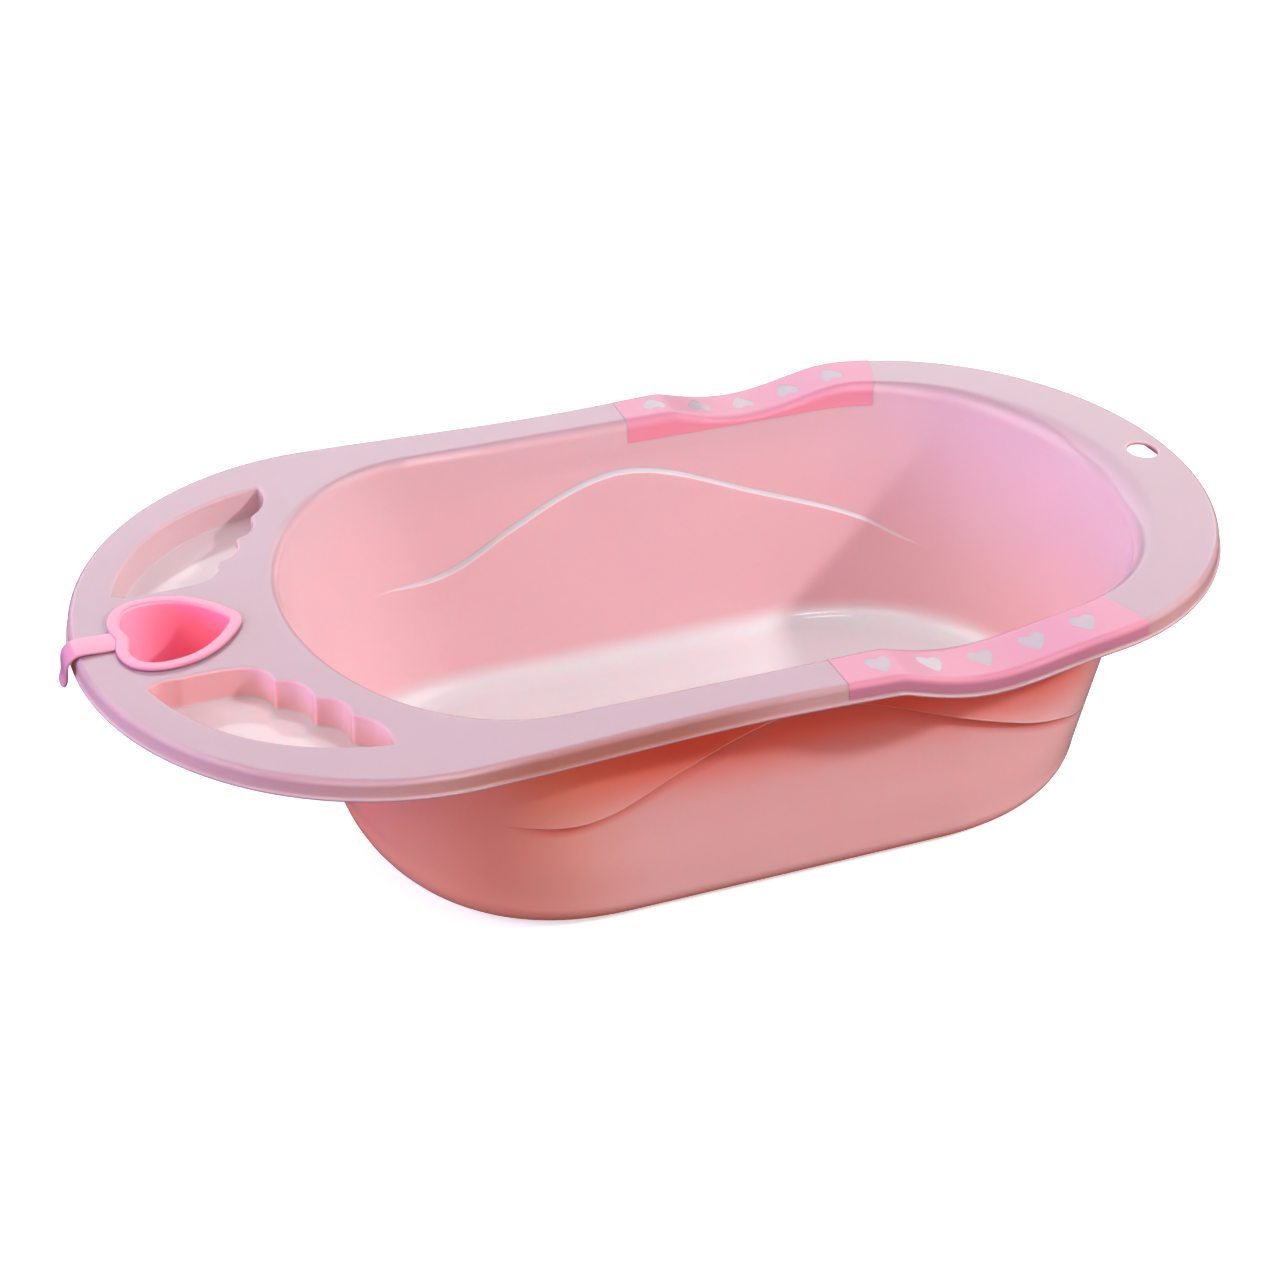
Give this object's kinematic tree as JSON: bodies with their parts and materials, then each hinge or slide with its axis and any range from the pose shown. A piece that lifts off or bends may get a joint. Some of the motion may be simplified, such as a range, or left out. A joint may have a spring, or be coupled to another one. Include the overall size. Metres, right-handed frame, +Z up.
{
  "type": "baby bathtub",
  "caption": "Oval baby bathtub with a wide rim, soft grips over dipped hand holds, scalloped trays, a hanging hole and a lift-out heart-shaped rinsing cup.",
  "frame": {"origin": "on the underside of the flat bottom, below the middle of the rim's length", "axes": "+X towards the head end with the hanging hole, -X towards the foot end with the cup and trays, +Z up"},
  "size_m": [0.8328, 0.4542, 0.1993],
  "materials": {
    "shell_plastic": "glossy, pale pink",
    "grip_rubber": "satin, pink, soft to the touch",
    "cup_plastic": "glossy, strong pink"
  },
  "bodies": {
    "tub": {"tub_shell": "shell_plastic", "grip_left": "grip_rubber", "grip_right": "grip_rubber"},
    "cup": {"heart_cup": "cup_plastic"}
  },
  "joints": [
    {"name": "cup_lift", "type": "slide", "parent": "tub", "child": "cup", "axis": [0, 0, 1], "range_m": [0, 0.08]}
  ]
}
